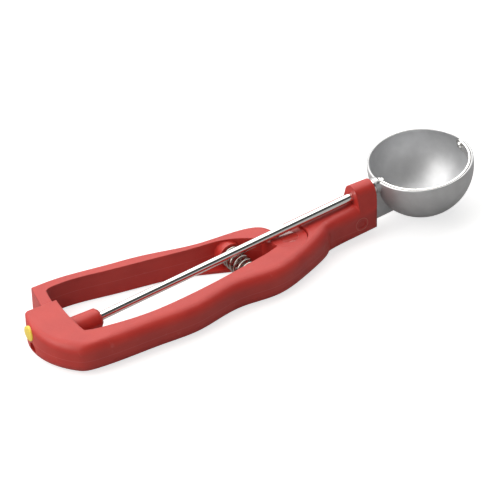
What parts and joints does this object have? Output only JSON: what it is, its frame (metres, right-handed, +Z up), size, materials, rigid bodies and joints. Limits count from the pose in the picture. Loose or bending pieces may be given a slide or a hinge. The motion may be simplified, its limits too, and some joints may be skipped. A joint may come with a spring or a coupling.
{
  "type": "lever ice cream scoop",
  "caption": "Squeeze-handle ice cream scoop: a hinged lever drives a rack and pinion that turns a rod and sweeps a curved scraper round an open half-sphere bowl.",
  "frame": {"origin": "foot of the lever pivot's axis, on the plane that the handle and the bowl lie on", "axes": "+X along the handle towards the bowl, +Y towards the hinged lever, +Z up, out of the bowl's mouth"},
  "size_m": [0.2338, 0.0586, 0.0299],
  "materials": {
    "red_plastic": "satin moulded",
    "yellow_plastic": "gloss",
    "polished_steel": "polished",
    "spring_steel": "drawn wire",
    "bearing_brass": "turned",
    "cast_alloy": "bead blasted"
  },
  "bodies": {
    "handle": {"frame_arm": "red_plastic", "rod_sleeve": "red_plastic", "rear_bush": "bearing_brass", "size_button": "yellow_plastic", "pivot_pin": "red_plastic", "bowl": "cast_alloy", "shank_pin": "polished_steel", "shank_pin_plugs": "red_plastic", "blade_rivet": "polished_steel", "rivet_washer": "polished_steel", "compression_spring": "spring_steel", "thrust_washer": "polished_steel"},
    "lever": {"lever_arm": "red_plastic", "toothed_rack": "polished_steel", "rack_pins": "polished_steel"},
    "shaft": {"drive_rod": "polished_steel", "drive_pinion": "bearing_brass", "pinion_pin": "polished_steel", "scraper_blade": "polished_steel", "blade_hub": "polished_steel"}
  },
  "joints": [
    {"name": "lever_hinge", "type": "hinge", "parent": "handle", "child": "lever", "pos_m": [0, 0, 0], "axis": [0, 0, 1], "range_deg": [0, 4.55], "stiffness_Nm_per_rad": 5, "springref_deg": -2.86, "deforming": ["compression_spring"]},
    {"name": "shaft_spin", "type": "hinge", "parent": "handle", "child": "shaft", "pos_m": [0.0755, 0.0028, 0.025], "axis": [0.996, 0, 0.0889], "range_deg": [0, 178.51]}
  ],
  "couplings": [
    {"joint": "shaft_spin", "follows": "lever_hinge", "ratio": 39.233}
  ]
}
